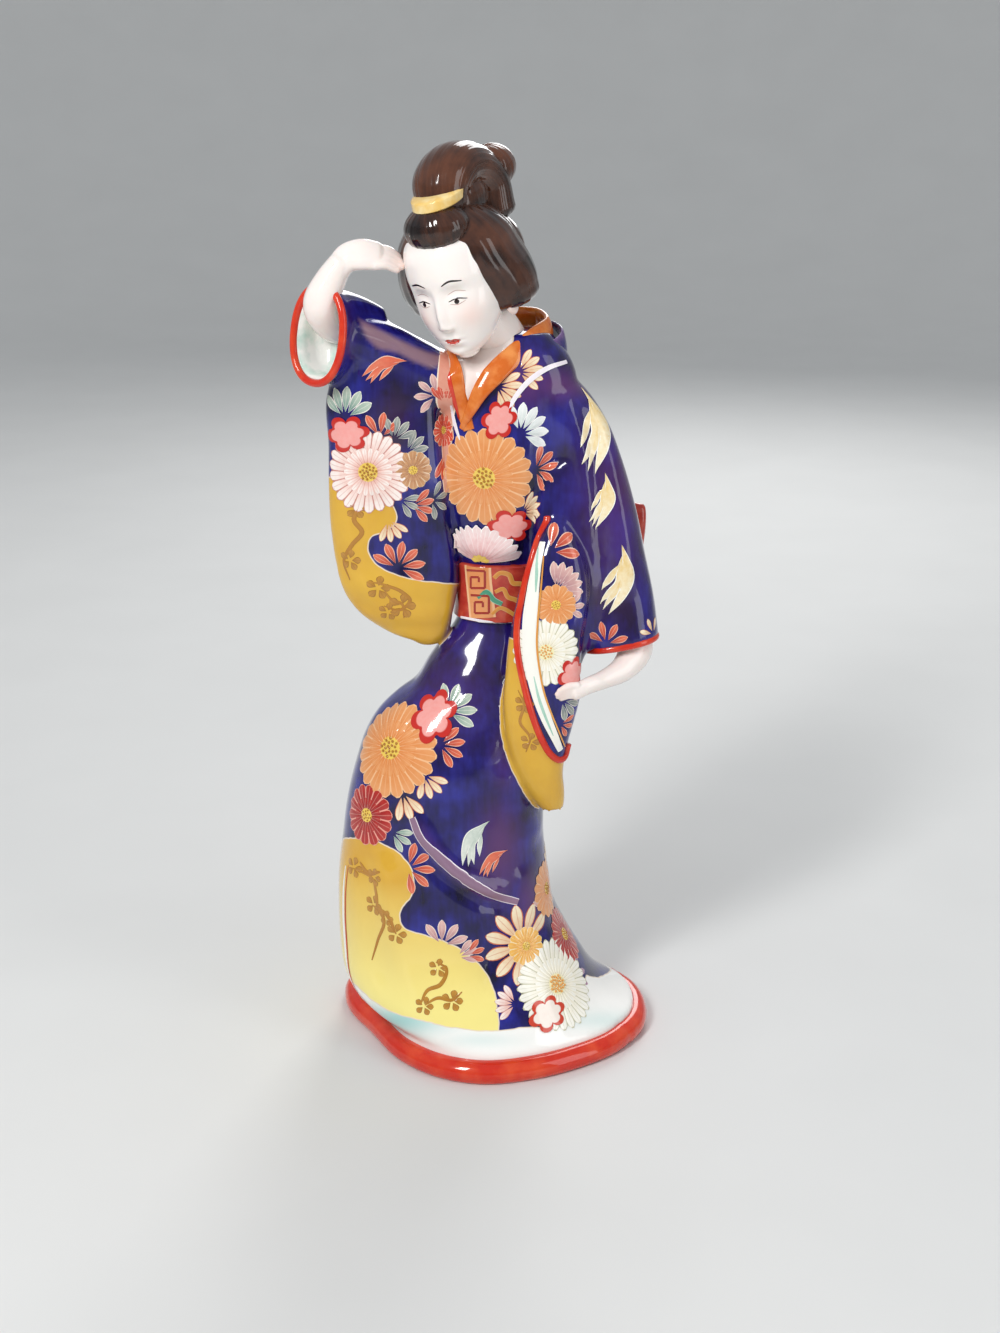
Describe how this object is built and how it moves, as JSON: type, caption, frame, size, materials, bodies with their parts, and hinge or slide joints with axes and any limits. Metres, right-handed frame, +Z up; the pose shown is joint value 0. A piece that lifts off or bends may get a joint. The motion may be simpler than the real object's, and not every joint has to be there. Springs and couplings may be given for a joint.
{
  "type": "porcelain figure",
  "caption": "Glazed porcelain figure of a standing woman in a long patterned robe with hanging sleeves, one hand raised to shade her eyes, on a flat foot.",
  "frame": {"origin": "centre of the flat foot that the figure stands on", "axes": "+Z up through the crown of the hair, -Y towards the viewer that the figure faces, +X towards the figure's lowered arm"},
  "size_m": [0.1404, 0.1062, 0.3615],
  "materials": {
    "glazed_porcelain": "high gloss glaze over cobalt blue, with red, ochre, orange and white enamels"
  },
  "bodies": {
    "root": {"porcelain_figure": "glazed_porcelain"}
  },
  "joints": []
}
